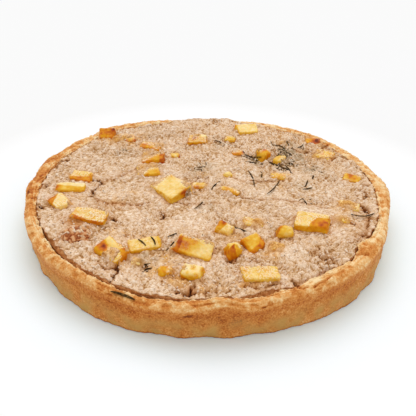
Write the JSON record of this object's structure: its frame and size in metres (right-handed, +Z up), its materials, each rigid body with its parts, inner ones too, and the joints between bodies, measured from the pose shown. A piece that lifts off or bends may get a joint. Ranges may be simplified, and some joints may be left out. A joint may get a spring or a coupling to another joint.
{
  "type": "potato quiche",
  "caption": "Round baked quiche in a plain shortcrust shell, with a pale set filling, browned potato dice, a knobbly mushroom piece and rosemary needles.",
  "frame": {"origin": "middle of the flat base that the quiche stands on", "axes": "+Z up through the filling, -Y to the front of the quiche, +X to its right"},
  "size_m": [0.2342, 0.2301, 0.0306],
  "materials": {
    "crust": "baked shortcrust, matte, browned at the rim",
    "filling": "set savoury filling, matte and finely granular",
    "potato": "roast potato, satin, browned at the edges",
    "mushroom": "cooked mushroom, moist"
  },
  "bodies": {
    "root": {"crust": "crust", "filling": "filling", "mushroom_piece": "mushroom", "potato_01": "potato", "potato_02": "potato", "potato_03": "potato", "potato_04": "potato", "potato_05": "potato", "potato_06": "potato", "potato_07": "potato", "potato_08": "potato", "potato_09": "potato", "potato_10": "potato", "potato_11": "potato", "potato_12": "potato", "potato_13": "potato", "potato_14": "potato", "potato_15": "potato", "potato_16": "potato", "potato_17": "potato", "potato_18": "potato", "potato_19": "potato", "potato_20": "potato", "potato_21": "potato", "potato_22": "potato", "potato_23": "potato", "potato_24": "potato", "potato_25": "potato", "potato_26": "potato", "potato_27": "potato", "potato_28": "potato", "potato_29": "potato", "potato_30": "potato", "potato_31": "potato", "potato_32": "potato", "potato_33": "potato", "potato_34": "potato", "potato_35": "potato", "potato_36": "potato", "potato_37": "potato", "potato_38": "potato", "potato_39": "potato", "potato_40": "potato"}
  },
  "joints": []
}
